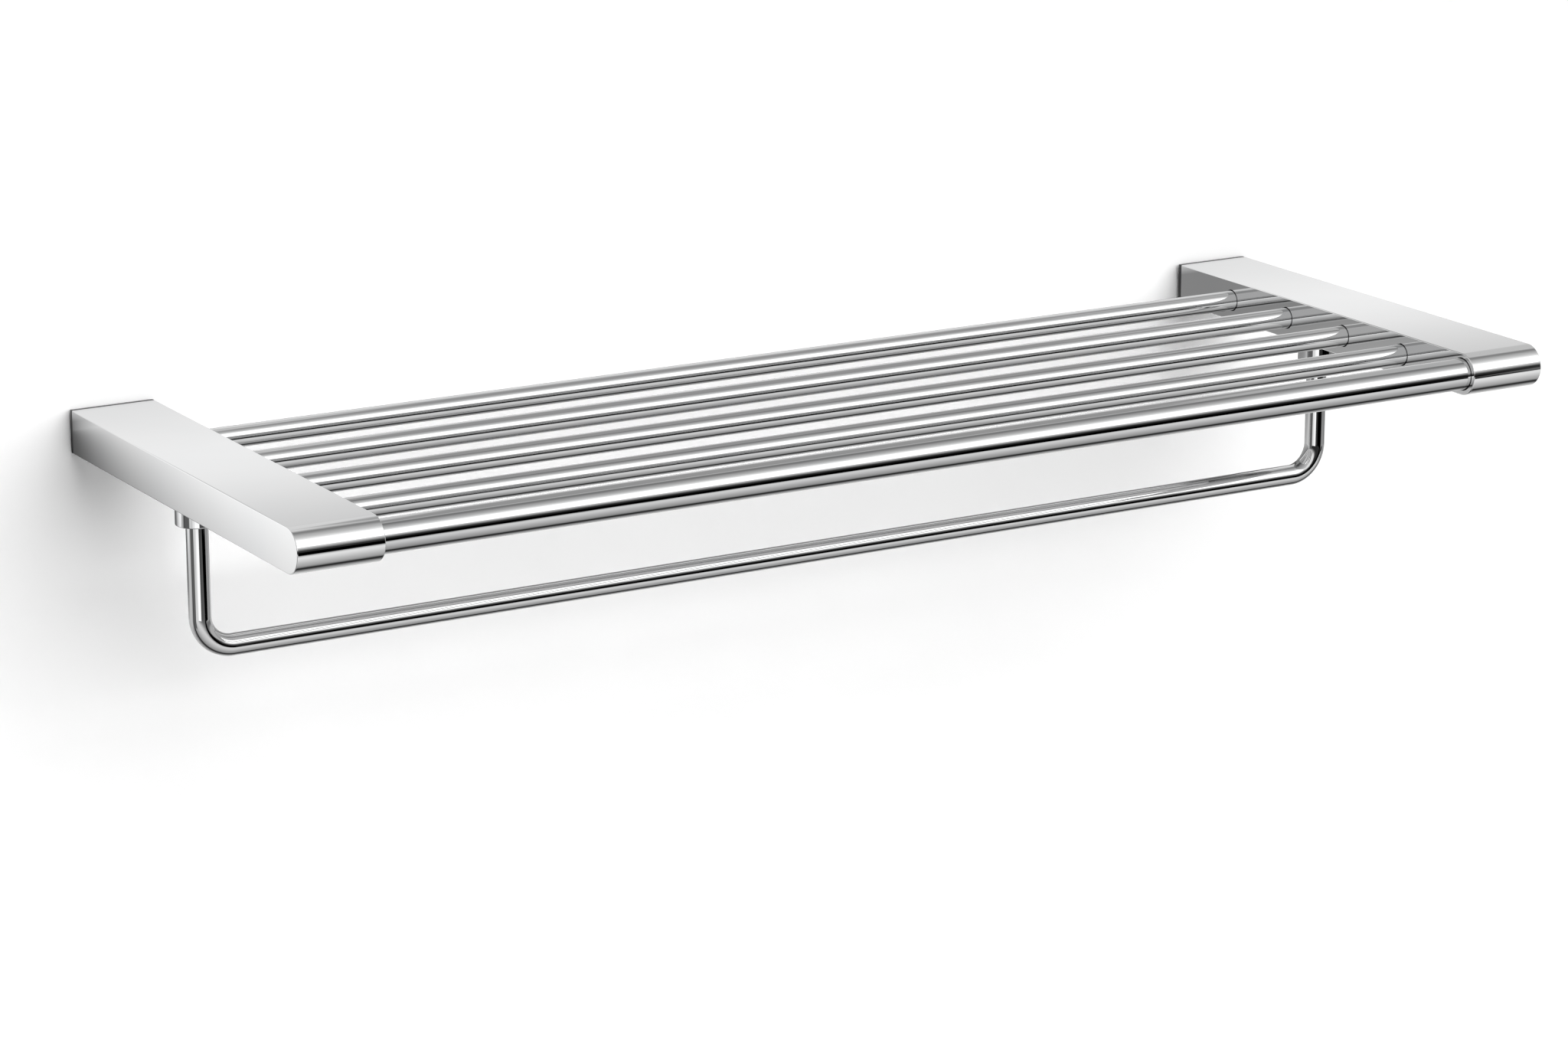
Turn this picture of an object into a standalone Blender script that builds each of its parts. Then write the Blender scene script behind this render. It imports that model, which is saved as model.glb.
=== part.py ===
"""Wall-mounted towel rack: two flat arms, four shelf rods, a front tube and a U-shaped hanging rail.

The frame: X runs along the wall, +Y goes into the wall, +Z is up. The origin lies on the wall's
surface, midway between the arms and at the middle of their thickness. Units are metres.
"""

from math import cos, pi, radians, sin

import bmesh
import bpy
from mathutils import Matrix, Vector

# Driving dimensions
OVERALL_WIDTH = 0.645
OVERALL_DEPTH = 0.240
ARM_WIDTH = 0.040
ARM_THICKNESS = 0.020
ROD_PITCH = 0.046
ROD_RADIUS = 0.005
ROD_COUNT = 4
TUBE_RADIUS = 0.0075
RAIL_RADIUS = 0.005
RAIL_DROP = 0.081
RAIL_BEND_RADIUS = 0.015
COLLAR_RADIUS = 0.0095
COLLAR_HEIGHT = 0.014

# Walls, sockets and clearances
GAP = 0.0003
CUT_PAST = 0.001
EDGE_ROUND = 0.0005
ARM_WALL = 0.0025
SOCKET_WALL = 0.012
ROD_WALL = 0.0012
ROD_SOCKET_DEPTH = 0.010
TUBE_WALL = 0.0012
TUBE_SOCKET_DEPTH = 0.020
NOSE_BLOCK_DEPTH = 0.032
PLUG_LENGTH = 0.019
PLUG_CHAMFER = 0.0008
PLATE_THICKNESS = 0.0018
TONGUE_DEPTH = 0.022
LEG_SEAT_DEPTH = 0.009

# Fasteners: radii and lengths
SET_SCREW_RADIUS = 0.002
SET_SCREW_LENGTH = 0.004
TUBE_SET_SCREW_LENGTH = 0.005
SET_SCREW_RECESS = 0.0003
SET_SCREW_CHAMFER = 0.0004
HEX_SOCKET_RADIUS = 0.00115
HEX_SOCKET_DEPTH = 0.0018
COLLAR_SCREW_RADIUS = 0.0025
COLLAR_SCREW_HEAD = 0.0046
COLLAR_SCREW_LENGTH = 0.016
COLLAR_HEX_RADIUS = 0.0017
COUNTERSINK_DEPTH = 0.0018
COLLAR_CHAMFER = 0.0005
INSERT_RADIUS = 0.0035
INSERT_FLANGE_RADIUS = 0.005
INSERT_FLANGE = 0.0008
INSERT_BULGE = 0.0046
INSERT_BULGE_HEIGHT = 0.003
INSERT_TOP = 0.001
WALL_SCREW_RADIUS = 0.00225
WALL_SCREW_HEAD_RADIUS = 0.0042
WALL_SCREW_HEAD = 0.0028
WALL_SCREW_LENGTH = 0.040
WALL_SCREW_SPACING = 0.012
WALL_SCREW_SEAT = 0.005

# Facets of the round pieces
ROD_SIDES = 32
TUBE_SIDES = 40
NOSE_SIDES = 24
BEND_STEPS = 8
SCREW_SIDES = 16
COLLAR_SIDES = 32

# Places that follow from the dimensions
HALF = ARM_THICKNESS / 2
NOSE_Y = -(OVERALL_DEPTH - HALF)
ARM_BACK_Y = -(PLATE_THICKNESS + GAP)
INNER_FACE_X = OVERALL_WIDTH / 2 - ARM_WIDTH
OUTER_FACE_X = OVERALL_WIDTH / 2
ROD_YS = [NOSE_Y + ROD_PITCH * (ROD_COUNT + 1 - n) for n in range(1, ROD_COUNT + 1)]
LEG_X = OVERALL_WIDTH / 2 - ARM_WIDTH / 2
LEG_Y = ROD_YS[1]
POCKET_X = (INNER_FACE_X + SOCKET_WALL, OUTER_FACE_X - ARM_WALL)
POCKET_MID_X = sum(POCKET_X) / 2
POCKET_HALF_HEIGHT = HALF - ARM_WALL
TONGUE_HALF_HEIGHT = POCKET_HALF_HEIGHT - GAP
SET_SCREW_HOLE = SET_SCREW_RADIUS + GAP
TUBE_SET_SCREW_X = INNER_FACE_X + TUBE_SOCKET_DEPTH / 2
ARM_SET_SCREW_Y = -0.014
COLLAR_TOP_Z = -(HALF + GAP)
COLLAR_BOTTOM_Z = -(HALF + COLLAR_HEIGHT)
LEG_TOP_Z = COLLAR_BOTTOM_Z + LEG_SEAT_DEPTH
COLLAR_SET_SCREW_Z = COLLAR_BOTTOM_Z + LEG_SEAT_DEPTH / 2
SIDES = {"left": -1, "right": 1}


def clear_scene():
    for old in list(bpy.data.objects):
        bpy.data.objects.remove(old, do_unlink=True)


def new_collection(name):
    collection = bpy.data.collections.new(name)
    bpy.context.scene.collection.children.link(collection)
    return collection


def metal(name, colour, roughness):
    material = bpy.data.materials.new(name)
    material.use_nodes = True
    shader = material.node_tree.nodes["Principled BSDF"]
    shader.inputs["Base Color"].default_value = (*colour, 1.0)
    shader.inputs["Metallic"].default_value = 1.0
    shader.inputs["Roughness"].default_value = roughness
    return material


def add_part(name, mesh, material):
    """A named sub-part in the rack's collection, smooth except at its real edges."""
    part = bpy.data.objects.new(name, mesh)
    rack.objects.link(part)
    mesh.materials.clear()
    mesh.materials.append(material)
    mesh.shade_smooth()
    mesh.set_sharp_from_angle(angle=radians(35))
    return part


def add_cutter(cutter):
    """Keeps a shape that only cuts others out of the rack's own collection."""
    for collection in list(cutter.users_collection):
        collection.objects.unlink(cutter)
    cutters.objects.link(cutter)
    cutter.hide_render = True
    cutter.display_type = "WIRE"
    return cutter


def box_cutter(name, low, high):
    low, high = Vector(low), Vector(high)
    bpy.ops.mesh.primitive_cube_add(size=1, location=(low + high) / 2)
    box = bpy.context.object
    box.name = name
    box.scale = high - low
    return add_cutter(box)


def round_cutter(name, start, end, radius, sides):
    start, end = Vector(start), Vector(end)
    bpy.ops.mesh.primitive_cylinder_add(
        vertices=sides, radius=radius, depth=(end - start).length, location=(start + end) / 2)
    cylinder = bpy.context.object
    cylinder.name = name
    cylinder.rotation_euler = (end - start).to_track_quat("Z", "Y").to_euler()
    return add_cutter(cylinder)


def boolean(part, tool, operation="DIFFERENCE"):
    step = part.modifiers.new(tool.name, "BOOLEAN")
    step.operation = operation
    step.solver = "EXACT"
    step.object = tool


def soften(part, width):
    bevel = part.modifiers.new("edges", "BEVEL")
    bevel.width = width
    bevel.segments = 2
    bevel.limit_method = "ANGLE"
    bevel.angle_limit = radians(50)


def turned(name, profile, closed, sides, material):
    """A shape turned about its own Z axis; the profile of (radius, z) runs top to bottom outside."""
    shape = bmesh.new()
    points = [shape.verts.new((radius, 0, z)) for radius, z in profile]
    for start, end in zip(points, points[1:]):
        shape.edges.new((start, end))
    if closed:
        shape.edges.new((points[-1], points[0]))
    mesh = bpy.data.meshes.new(name)
    shape.to_mesh(mesh)
    shape.free()
    part = add_part(name, mesh, material)
    screw = part.modifiers.new("turn", "SCREW")
    screw.steps = sides
    screw.render_steps = sides
    screw.use_merge_vertices = True
    screw.merge_threshold = 0.00001
    screw.use_smooth_shade = True
    return part


def solid_mesh(curve_object):
    """The mesh of a curve with its caps welded on; the curve itself is removed."""
    bpy.context.view_layer.update()
    depsgraph = bpy.context.evaluated_depsgraph_get()
    mesh = bpy.data.meshes.new_from_object(curve_object.evaluated_get(depsgraph))
    mesh.transform(curve_object.matrix_world)
    shape = bmesh.new()
    shape.from_mesh(mesh)
    bmesh.ops.remove_doubles(shape, verts=shape.verts, dist=0.00001)
    bmesh.ops.recalc_face_normals(shape, faces=shape.faces)
    shape.to_mesh(mesh)
    shape.free()
    bpy.data.objects.remove(curve_object, do_unlink=True)
    return mesh


def poly_spline(curve, points, cyclic):
    spline = curve.splines.new("POLY")
    spline.points.add(len(points) - 1)
    for control, point in zip(spline.points, points):
        control.co = (*point, 1.0)
    spline.use_cyclic_u = cyclic


def arc(centre, radius, start, end, steps):
    """Points (u, v) of an arc between two angles, both ends included."""
    angles = [start + (end - start) * n / steps for n in range(steps + 1)]
    return [(centre[0] + radius * cos(a), centre[1] + radius * sin(a)) for a in angles]


def build_arm(name, side):
    """One arm: a flat bar with a full-round nose, hollow from behind, with blind sockets inside."""
    outline = bpy.data.curves.new(name, "CURVE")
    outline.dimensions = "2D"
    outline.fill_mode = "BOTH"
    outline.extrude = ARM_WIDTH / 2
    nose = arc((NOSE_Y, 0.0), HALF, pi / 2, 3 * pi / 2, NOSE_SIDES)
    back = [(ARM_BACK_Y, -HALF), (ARM_BACK_Y, HALF)]
    poly_spline(outline, [(y, z, 0.0) for y, z in nose + back], cyclic=True)
    flat = bpy.data.objects.new(name + "_outline", outline)
    flat.rotation_euler = (pi / 2, 0, pi / 2)
    flat.location.x = side * LEG_X
    rack.objects.link(flat)
    arm = add_part(name, solid_mesh(flat), chrome)
    soften(arm, EDGE_ROUND)

    inner, outer = side * POCKET_X[0], side * POCKET_X[1]
    boolean(arm, box_cutter(
        name + "_pocket",
        (min(inner, outer), -(OVERALL_DEPTH - NOSE_BLOCK_DEPTH), -POCKET_HALF_HEIGHT),
        (max(inner, outer), CUT_PAST, POCKET_HALF_HEIGHT)))
    mouth_x = side * (INNER_FACE_X - CUT_PAST)
    for number, y in enumerate(ROD_YS, start=1):
        boolean(arm, round_cutter(
            f"{name}_rod_socket_{number}", (mouth_x, y, 0), (side * (INNER_FACE_X + ROD_SOCKET_DEPTH), y, 0),
            ROD_RADIUS + GAP, ROD_SIDES))
    boolean(arm, round_cutter(
        name + "_tube_socket", (mouth_x, NOSE_Y, 0), (side * (INNER_FACE_X + TUBE_SOCKET_DEPTH), NOSE_Y, 0),
        TUBE_RADIUS + GAP, TUBE_SIDES))
    for kind, x, y, radius in (
            ("tube_set_screw_hole", TUBE_SET_SCREW_X, NOSE_Y, SET_SCREW_HOLE),
            ("set_screw_hole", POCKET_MID_X, ARM_SET_SCREW_Y, SET_SCREW_HOLE),
            ("insert_hole", LEG_X, LEG_Y, INSERT_RADIUS + GAP)):
        boolean(arm, round_cutter(
            f"{name}_{kind}", (side * x, y, -HALF - CUT_PAST), (side * x, y, -HALF / 2), radius, SCREW_SIDES))


def build_wall_plate(name, side):
    """The plate behind an arm, with the tongue that fills the arm's rear pocket."""
    blank = bmesh.new()
    bmesh.ops.create_cube(blank, size=1, matrix=Matrix.Diagonal((ARM_WIDTH, PLATE_THICKNESS, ARM_THICKNESS, 1)))
    mesh = bpy.data.meshes.new(name)
    blank.to_mesh(mesh)
    blank.free()
    plate = add_part(name, mesh, chrome)
    plate.location = (side * LEG_X, -PLATE_THICKNESS / 2, 0)
    soften(plate, EDGE_ROUND / 2)

    inner, outer = side * (POCKET_X[0] + GAP), side * (POCKET_X[1] - GAP)
    tongue = box_cutter(
        name + "_tongue",
        (min(inner, outer), -TONGUE_DEPTH, -TONGUE_HALF_HEIGHT),
        (max(inner, outer), -PLATE_THICKNESS / 2, TONGUE_HALF_HEIGHT))
    boolean(plate, tongue, "UNION")
    for number, offset in enumerate((-WALL_SCREW_SPACING / 2, WALL_SCREW_SPACING / 2), start=1):
        x = side * POCKET_MID_X + offset
        boolean(plate, round_cutter(
            f"{name}_screw_hole_{number}", (x, CUT_PAST, 0), (x, -TONGUE_DEPTH / 2, 0),
            WALL_SCREW_RADIUS + GAP, SCREW_SIDES))
        boolean(plate, round_cutter(
            f"{name}_counterbore_{number}", (x, -WALL_SCREW_SEAT, 0), (x, -TONGUE_DEPTH - CUT_PAST, 0),
            WALL_SCREW_HEAD_RADIUS + GAP, 2 * SCREW_SIDES))
    dimple_top = -HALF + SET_SCREW_RECESS + SET_SCREW_LENGTH + GAP
    boolean(plate, round_cutter(
        name + "_dimple",
        (side * POCKET_MID_X, ARM_SET_SCREW_Y, -HALF), (side * POCKET_MID_X, ARM_SET_SCREW_Y, dimple_top),
        SET_SCREW_HOLE, SCREW_SIDES))


def build_tube(name, y, half_length, radius, wall, sides):
    """A straight round tube along X."""
    bore = radius - wall
    profile = [(radius, half_length), (radius, -half_length), (bore, -half_length), (bore, half_length)]
    tube = turned(name, profile, True, sides, chrome)
    tube.location.y = y
    tube.rotation_euler.y = pi / 2
    return tube


def build_front_tube():
    half_length = INNER_FACE_X + TUBE_SOCKET_DEPTH - GAP
    tube = build_tube("front_tube", NOSE_Y, half_length, TUBE_RADIUS, TUBE_WALL, TUBE_SIDES)
    for side_name, side in SIDES.items():
        hole = round_cutter(
            f"front_tube_hole_{side_name}",
            (side * TUBE_SET_SCREW_X, NOSE_Y, -HALF), (side * TUBE_SET_SCREW_X, NOSE_Y, -HALF / 4),
            SET_SCREW_HOLE, SCREW_SIDES)
        boolean(tube, hole)
        build_tube_plug(f"front_tube_plug_{side_name}", side, half_length)


def build_tube_plug(name, side, tube_half_length):
    """The solid plug in an end of the front tube, with a dimple for the set screw's tip."""
    radius = TUBE_RADIUS - TUBE_WALL - GAP
    end = PLUG_LENGTH / 2
    profile = [
        (0, end), (radius - PLUG_CHAMFER, end), (radius, end - PLUG_CHAMFER),
        (radius, PLUG_CHAMFER - end), (radius - PLUG_CHAMFER, -end), (0, -end)]
    plug = turned(name, profile, False, ROD_SIDES, zinc)
    plug.location = (side * (tube_half_length - end - GAP), NOSE_Y, 0)
    plug.rotation_euler.y = pi / 2
    dimple_top = -HALF + SET_SCREW_RECESS + TUBE_SET_SCREW_LENGTH + GAP
    boolean(plug, round_cutter(
        name + "_dimple",
        (side * TUBE_SET_SCREW_X, NOSE_Y, -HALF), (side * TUBE_SET_SCREW_X, NOSE_Y, dimple_top),
        SET_SCREW_HOLE, SCREW_SIDES))


def build_hanging_rail():
    """The U-bent rail: two vertical legs joined by a bar through two round bends."""
    bend_x = LEG_X - RAIL_BEND_RADIUS
    bend_z = RAIL_BEND_RADIUS - RAIL_DROP
    left = arc((-bend_x, bend_z), RAIL_BEND_RADIUS, pi, 3 * pi / 2, BEND_STEPS)
    right = arc((bend_x, bend_z), RAIL_BEND_RADIUS, 3 * pi / 2, 2 * pi, BEND_STEPS)
    route = [(-LEG_X, LEG_TOP_Z), *left, *right, (LEG_X, LEG_TOP_Z)]
    path = bpy.data.curves.new("hanging_rail", "CURVE")
    path.dimensions = "3D"
    path.bevel_depth = RAIL_RADIUS
    path.bevel_resolution = 10
    path.use_fill_caps = True
    poly_spline(path, [(x, LEG_Y, z) for x, z in route], cyclic=False)
    rail = bpy.data.objects.new("hanging_rail_path", path)
    rack.objects.link(rail)
    add_part("hanging_rail", solid_mesh(rail), chrome)


def build_collar(side_name, side):
    """A collar, the rivet nut above it, the screw that joins them and the leg's set screw."""
    screw_hole = COLLAR_SCREW_RADIUS + GAP
    head_room = COLLAR_SCREW_HEAD + GAP
    leg_seat = RAIL_RADIUS + GAP
    flange_room = INSERT_FLANGE_RADIUS + GAP
    web_bottom = LEG_TOP_Z + GAP
    rim = COLLAR_RADIUS - COLLAR_CHAMFER
    flange_seat = COLLAR_TOP_Z - INSERT_FLANGE - GAP
    profile = [
        (rim, COLLAR_TOP_Z), (COLLAR_RADIUS, COLLAR_TOP_Z - COLLAR_CHAMFER),
        (COLLAR_RADIUS, COLLAR_BOTTOM_Z + COLLAR_CHAMFER), (rim, COLLAR_BOTTOM_Z),
        (leg_seat, COLLAR_BOTTOM_Z), (leg_seat, web_bottom),
        (head_room, web_bottom), (screw_hole, web_bottom + COUNTERSINK_DEPTH),
        (screw_hole, flange_seat), (flange_room, flange_seat), (flange_room, COLLAR_TOP_Z)]
    collar = turned(f"rail_collar_{side_name}", profile, True, COLLAR_SIDES, chrome)
    collar.location = (side * LEG_X, LEG_Y, 0)
    boolean(collar, round_cutter(
        f"rail_collar_{side_name}_hole", (side * LEG_X, LEG_Y, COLLAR_SET_SCREW_Z),
        (side * LEG_X, LEG_Y + 2 * COLLAR_RADIUS, COLLAR_SET_SCREW_Z), SET_SCREW_HOLE, SCREW_SIDES))
    build_set_screw(
        f"collar_grub_screw_{side_name}", SET_SCREW_LENGTH - GAP,
        (side * LEG_X, LEG_Y + COLLAR_RADIUS - SET_SCREW_RECESS, COLLAR_SET_SCREW_Z), (0, 1, 0))
    build_insert(f"threaded_insert_{side_name}", side, screw_hole)
    build_collar_screw(f"collar_screw_{side_name}", side, web_bottom)


def build_insert(name, side, bore):
    """A rivet nut: flange under the arm, bulge above the arm's bottom wall, open bore."""
    wall_top = -POCKET_HALF_HEIGHT + GAP
    flange_bottom = COLLAR_TOP_Z - INSERT_FLANGE
    profile = [
        (INSERT_RADIUS, INSERT_TOP), (INSERT_RADIUS, wall_top + INSERT_BULGE_HEIGHT),
        (INSERT_BULGE, wall_top + INSERT_BULGE_HEIGHT / 2), (INSERT_BULGE, wall_top),
        (INSERT_RADIUS, wall_top), (INSERT_RADIUS, COLLAR_TOP_Z),
        (INSERT_FLANGE_RADIUS, COLLAR_TOP_Z), (INSERT_FLANGE_RADIUS, flange_bottom),
        (bore, flange_bottom), (bore, INSERT_TOP)]
    insert = turned(name, profile, True, SCREW_SIDES, zinc)
    insert.location = (side * LEG_X, LEG_Y, 0)


def build_collar_screw(name, side, web_bottom):
    """A countersunk socket screw, its head up in the collar's web."""
    radius = COLLAR_SCREW_RADIUS
    head_face = web_bottom + GAP / 2
    tip = web_bottom + COLLAR_SCREW_LENGTH
    profile = [
        (0, tip), (radius - COLLAR_CHAMFER, tip), (radius, tip - COLLAR_CHAMFER),
        (radius, head_face + COUNTERSINK_DEPTH), (COLLAR_SCREW_HEAD, head_face), (0, head_face)]
    screw = turned(name, profile, False, SCREW_SIDES, steel)
    screw.location = (side * LEG_X, LEG_Y, 0)
    boolean(screw, round_cutter(
        name + "_socket", (side * LEG_X, LEG_Y, head_face - CUT_PAST),
        (side * LEG_X, LEG_Y, head_face + HEX_SOCKET_DEPTH), COLLAR_HEX_RADIUS, 6))


def build_set_screw(name, length, socket_end, outward):
    """A hexagon-socket set screw whose socket faces outward."""
    radius = SET_SCREW_RADIUS
    chamfer = SET_SCREW_CHAMFER
    profile = [(0, 0), (radius - chamfer, 0), (radius, -chamfer), (radius, 2 * chamfer - length),
               (radius - 2 * chamfer, -length), (0, -length)]
    screw = turned(name, profile, False, SCREW_SIDES, steel)
    screw.location = socket_end
    direction = Vector(outward)
    screw.rotation_euler = direction.to_track_quat("Z", "Y").to_euler()
    mouth = Vector(socket_end)
    boolean(screw, round_cutter(
        name + "_socket", mouth + direction * CUT_PAST, mouth - direction * HEX_SOCKET_DEPTH,
        HEX_SOCKET_RADIUS, 6))


def build_wall_screw(name, x):
    """A cross-recess screw through the wall plate: pan head, shank and point along +Y."""
    head_top = -(WALL_SCREW_SEAT + GAP + WALL_SCREW_HEAD)
    seat = -(WALL_SCREW_SEAT + GAP)
    tip = seat + WALL_SCREW_LENGTH
    crown = 0.35 * WALL_SCREW_HEAD
    profile = [
        (0, -head_top), (0.6 * WALL_SCREW_HEAD_RADIUS, -head_top),
        (0.9 * WALL_SCREW_HEAD_RADIUS, -(head_top + 0.4 * crown)),
        (WALL_SCREW_HEAD_RADIUS, -(head_top + crown)), (WALL_SCREW_HEAD_RADIUS, -seat),
        (WALL_SCREW_RADIUS, -seat), (WALL_SCREW_RADIUS, -(tip - 3 * WALL_SCREW_RADIUS)), (0, -tip)]
    screw = turned(name, profile, False, SCREW_SIDES, steel)
    screw.location.x = x
    screw.rotation_euler.x = pi / 2
    slot_length = 0.55 * WALL_SCREW_HEAD_RADIUS
    slot_width = 0.12 * WALL_SCREW_HEAD_RADIUS
    for slot, (half_x, half_z) in enumerate(((slot_length, slot_width), (slot_width, slot_length)), start=1):
        boolean(screw, box_cutter(
            f"{name}_slot_{slot}",
            (x - half_x, head_top - CUT_PAST, -half_z), (x + half_x, head_top + HEX_SOCKET_DEPTH, half_z)))


clear_scene()
rack = new_collection("towel_rack")
cutters = new_collection("cutters")
chrome = metal("polished_chrome", (0.82, 0.83, 0.84), 0.04)
zinc = metal("zinc_plated", (0.62, 0.62, 0.60), 0.35)
steel = metal("stainless_screws", (0.70, 0.70, 0.70), 0.25)

for side_name, side in SIDES.items():
    build_arm(f"bracket_{side_name}", side)
    build_wall_plate(f"wall_plate_{side_name}", side)
    build_collar(side_name, side)
    build_set_screw(
        f"bracket_grub_screw_{side_name}", SET_SCREW_LENGTH,
        (side * POCKET_MID_X, ARM_SET_SCREW_Y, -HALF + SET_SCREW_RECESS), (0, 0, -1))
    build_set_screw(
        f"front_tube_grub_screw_{side_name}", TUBE_SET_SCREW_LENGTH,
        (side * TUBE_SET_SCREW_X, NOSE_Y, -HALF + SET_SCREW_RECESS), (0, 0, -1))
    for number, offset in enumerate((-WALL_SCREW_SPACING / 2, WALL_SCREW_SPACING / 2), start=1):
        build_wall_screw(f"wall_screw_{side_name}_{number}", side * POCKET_MID_X + offset)

for number, rod_y in enumerate(ROD_YS, start=1):
    build_tube(
        f"shelf_rod_{number}", rod_y, INNER_FACE_X + ROD_SOCKET_DEPTH - GAP, ROD_RADIUS, ROD_WALL, ROD_SIDES)
build_front_tube()
build_hanging_rail()
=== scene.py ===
"""The towel rack's finished look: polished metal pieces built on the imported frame, in a small studio.

Every piece takes its place and size from the CAD boxes. X runs along the wall, +Y goes into the
wall, +Z is up, and lengths are in metres.
"""

from math import ceil, cos, pi, radians, sin

import bmesh
import bpy
from mathutils import Matrix, Vector


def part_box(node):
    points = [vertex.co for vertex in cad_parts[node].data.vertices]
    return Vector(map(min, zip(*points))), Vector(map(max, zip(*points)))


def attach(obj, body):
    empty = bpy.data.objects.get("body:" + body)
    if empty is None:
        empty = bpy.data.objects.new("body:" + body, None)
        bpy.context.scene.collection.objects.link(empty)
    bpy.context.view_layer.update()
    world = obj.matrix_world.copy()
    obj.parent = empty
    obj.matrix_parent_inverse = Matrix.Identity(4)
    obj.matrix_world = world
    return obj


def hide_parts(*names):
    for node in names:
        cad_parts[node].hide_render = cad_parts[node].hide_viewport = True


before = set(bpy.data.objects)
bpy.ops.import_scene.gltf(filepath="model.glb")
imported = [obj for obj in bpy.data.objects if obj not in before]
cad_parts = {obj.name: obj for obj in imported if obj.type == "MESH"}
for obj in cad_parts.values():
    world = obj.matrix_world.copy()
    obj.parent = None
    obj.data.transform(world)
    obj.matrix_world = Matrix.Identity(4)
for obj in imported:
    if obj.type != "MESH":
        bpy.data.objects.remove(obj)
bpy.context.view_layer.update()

SIDES = {"left": -1, "right": 1}
ROD_COUNT = 4

# Fineness of the visible surfaces
ROUND_STEPS = 96
NOSE_STEPS = 64
BEND_STEPS = 32
SMALL_STEPS = 48
THREAD_ROWS = 10
WELD = 0.0000005
SHARP_ANGLE = radians(38)

# Fits and edges, the same as in the CAD model
CLEARANCE = 0.0003
OVERCUT = 0.002
ARM_EDGE = 0.0005
ARM_WALL = 0.0025
SOCKET_WALL = 0.012
NOSE_BLOCK = 0.032
SCREW_HOLE_DEPTH = 0.005
SOCKET_RIM = 0.0002
PIPE_WALL = 0.0012
PIPE_RIM = 0.0003
PLATE_THICKNESS = 0.0018
PLATE_EDGE = 0.00025
PLATE_SEAT = 0.005
COLLAR_EDGE = 0.0005
FLANGE = 0.0008
COUNTERSINK = 0.0018
INSERT_BODY = 0.0035
INSERT_BULGE = 0.0046
INSERT_BULGE_HEIGHT = 0.003

# Screws: radii, threads and drives
COLLAR_SCREW = 0.0025
COLLAR_SCREW_HEAD = 0.0046
WALL_SCREW = 0.00225
WALL_SCREW_HEAD_HEIGHT = 0.0028
WALL_SCREW_NECK = 0.004
WALL_SCREW_POINT = 0.007
SCREW_CHAMFER = 0.0004
DRIVE_DEPTH = 0.0018
FINE_THREAD = {"pitch": 0.0007, "depth": 0.0003}
COLLAR_THREAD = {"pitch": 0.0008, "depth": 0.00035}
WOOD_THREAD = {"pitch": 0.0018, "depth": 0.0006}


# ---------------------------------------------------------------- materials

class Nodes:
    """A short way to write a node tree: each call adds a node and links or sets its inputs."""

    def __init__(self, tree):
        self.tree = tree
        tree.nodes.clear()

    def add(self, kind, settings=None, **inputs):
        """Inputs go by name, with _ for a space, or by number, as i0, i1 and so on."""
        node = self.tree.nodes.new(kind)
        for name, value in (settings or {}).items():
            setattr(node, name, value)
        for name, value in inputs.items():
            by_number = name[0] == "i" and name[1:].isdigit()
            socket = node.inputs[int(name[1:]) if by_number else name.replace("_", " ")]
            if isinstance(value, bpy.types.NodeSocket):
                self.tree.links.new(value, socket)
            else:
                socket.default_value = value
        return node

    def math(self, operation, first, second=0.0, third=0.0, clamp=False):
        settings = {"operation": operation, "use_clamp": clamp}
        return self.add("ShaderNodeMath", settings, i0=first, i1=second, i2=third).outputs[0]

    def map(self, value, low, high, to_low, to_high, smooth=False):
        settings = {"interpolation_type": "SMOOTHSTEP" if smooth else "LINEAR"}
        node = self.add(
            "ShaderNodeMapRange", settings,
            Value=value, From_Min=low, From_Max=high, To_Min=to_low, To_Max=to_high)
        return node.outputs[0]

    def blend(self, share, first, second):
        """A number that goes from first to second as share goes from 0 to 1."""
        return self.add("ShaderNodeMix", {"data_type": "FLOAT"}, i0=share, i2=first, i3=second).outputs[0]

    def window(self, value, centre, half_width, softness):
        """1 inside a band around centre, falling smoothly to 0 outside it."""
        distance = self.math("ABSOLUTE", self.math("SUBTRACT", value, centre))
        return self.map(distance, half_width - softness, half_width + softness, 1.0, 0.0, smooth=True)

    def noise(self, vector, scale, detail=4.0, roughness=0.5, stretch=(1, 1, 1)):
        place = self.add("ShaderNodeMapping", None, Vector=vector, Scale=stretch).outputs[0]
        node = self.add(
            "ShaderNodeTexNoise", None, Vector=place, Scale=scale, Detail=detail, Roughness=roughness)
        return node.outputs["Fac"]

    def ramp(self, value, stops):
        node = self.add("ShaderNodeValToRGB", None, Fac=value)
        elements = node.color_ramp.elements
        while len(elements) < len(stops):
            elements.new(0.5)
        for element, (position, colour) in zip(elements, stops):
            element.position = position
            element.color = (*colour, 1.0)
        return node.outputs["Color"]


def new_material(name):
    material = bpy.data.materials.new(name)
    material.use_nodes = True
    return material, Nodes(material.node_tree)


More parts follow.
